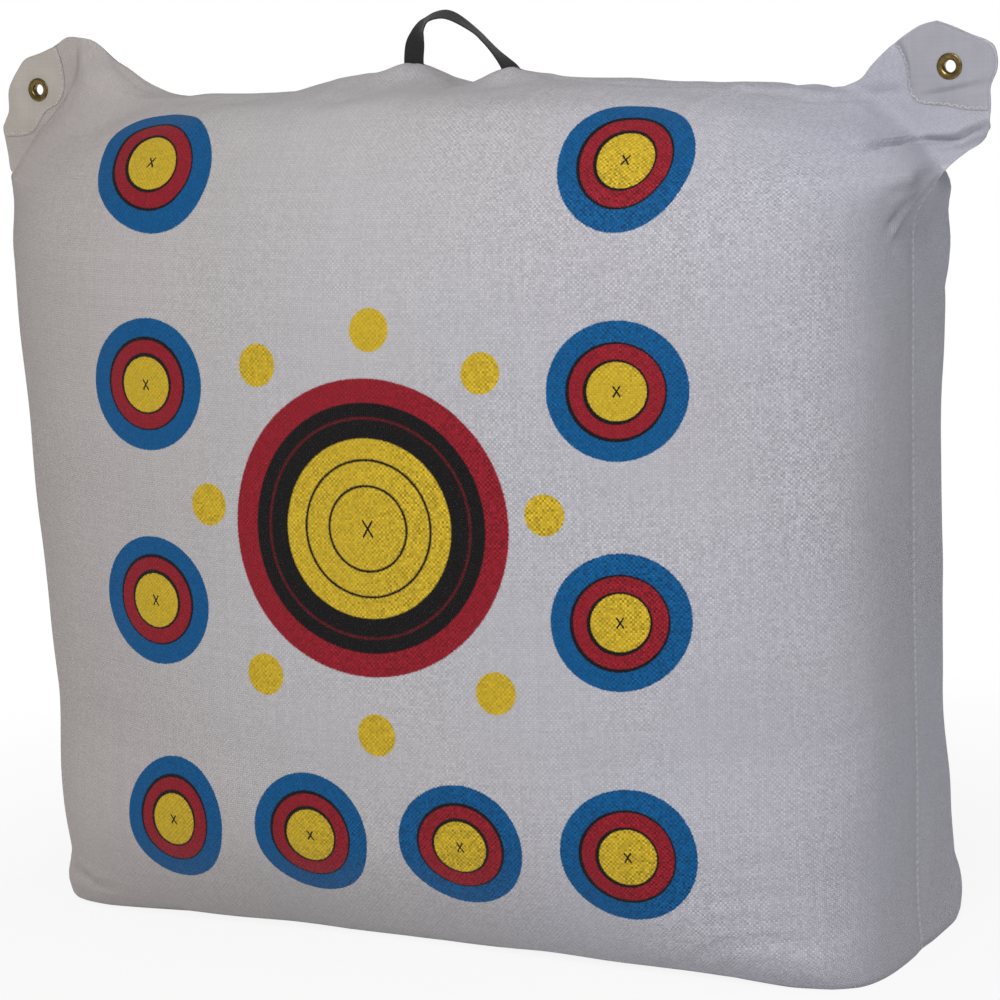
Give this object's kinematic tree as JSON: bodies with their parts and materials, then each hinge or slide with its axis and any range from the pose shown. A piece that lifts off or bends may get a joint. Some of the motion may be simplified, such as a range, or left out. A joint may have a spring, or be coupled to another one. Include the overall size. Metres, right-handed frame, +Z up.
{
  "type": "bag target",
  "caption": "Box-shaped stuffed bag target in white woven cloth, ring spots printed on its front, with a webbing handle on top and a grommeted hanging ear at each top corner.",
  "frame": {"origin": "middle of the flat base, on the surface that the bag stands on", "axes": "+Z up, the printed front faces -Y, +X runs along the width to the right as the front is faced"},
  "size_m": [0.9236, 0.4002, 0.7773],
  "materials": {
    "cover_cloth": "white woven plastic tape cloth, slight sheen, printed in black, blue, red and yellow",
    "liner_cloth": "plain unprinted woven cloth",
    "loose_fibre": "loose recycled fibre, matt",
    "woven_layer": "stacked woven sheets, matt",
    "webbing": "black ribbed webbing, matt",
    "patch_cloth": "smooth white coated cloth, stitched on",
    "brass": "rolled brass, slightly tarnished"
  },
  "bodies": {
    "bag": {"cover_front_panel": "cover_cloth", "cover_back_panel": "cover_cloth", "liner_front_panel": "liner_cloth", "liner_back_panel": "liner_cloth", "fill_front_batt": "loose_fibre", "fill_rear_batt": "loose_fibre", "core_layer_1": "woven_layer", "core_layer_2": "woven_layer", "core_layer_3": "woven_layer", "core_layer_4": "woven_layer", "handle_left_tail": "webbing", "handle_right_tail": "webbing"},
    "handle": {"handle_strap": "webbing"},
    "left_ear": {"left_ear_front_ply": "cover_cloth", "left_ear_front_patch": "patch_cloth", "left_ear_back_ply": "cover_cloth", "left_ear_back_patch": "patch_cloth", "left_grommet": "brass", "left_grommet_washer": "brass"},
    "right_ear": {"right_ear_front_ply": "cover_cloth", "right_ear_front_patch": "patch_cloth", "right_ear_back_ply": "cover_cloth", "right_ear_back_patch": "patch_cloth", "right_grommet": "brass", "right_grommet_washer": "brass"}
  },
  "joints": [
    {"name": "handle_swing", "type": "hinge", "parent": "bag", "child": "handle", "pos_m": [0, 0, 0.731], "axis": [1, 0, 0], "range_deg": [-90, 90]},
    {"name": "left_ear_flex", "type": "hinge", "parent": "bag", "child": "left_ear", "pos_m": [-0.37435, 0, 0.66936], "axis": [0.717, 0, 0.6971], "range_deg": [-70, 70]},
    {"name": "right_ear_flex", "type": "hinge", "parent": "bag", "child": "right_ear", "pos_m": [0.37435, 0, 0.66936], "axis": [0.717, 0, -0.6971], "range_deg": [-70, 70]}
  ]
}
